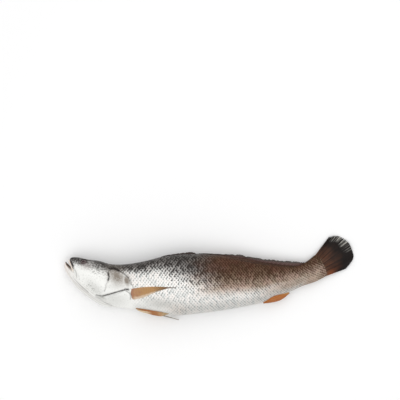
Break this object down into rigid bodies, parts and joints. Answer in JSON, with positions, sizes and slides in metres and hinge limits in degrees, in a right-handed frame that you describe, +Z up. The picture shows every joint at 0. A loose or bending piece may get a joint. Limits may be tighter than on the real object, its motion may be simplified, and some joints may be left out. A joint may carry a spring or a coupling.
{
  "type": "sea bass",
  "caption": "Whole raw sea bass lying on its side, with folded fins, gill covers and a half-spread tail.",
  "frame": {"origin": "middle of the outline in plan, at the surface that the fish lies on", "axes": "+Z up, out of the fish's left flank; -X towards the head; +Y towards the back"},
  "size_m": [0.3774, 0.1096, 0.0476],
  "materials": {
    "fish_skin": "moist scaled skin, silver-white belly, dark grey to brown back, orange-tan fins"
  },
  "bodies": {
    "root": {"sea_bass": "fish_skin"}
  },
  "joints": []
}
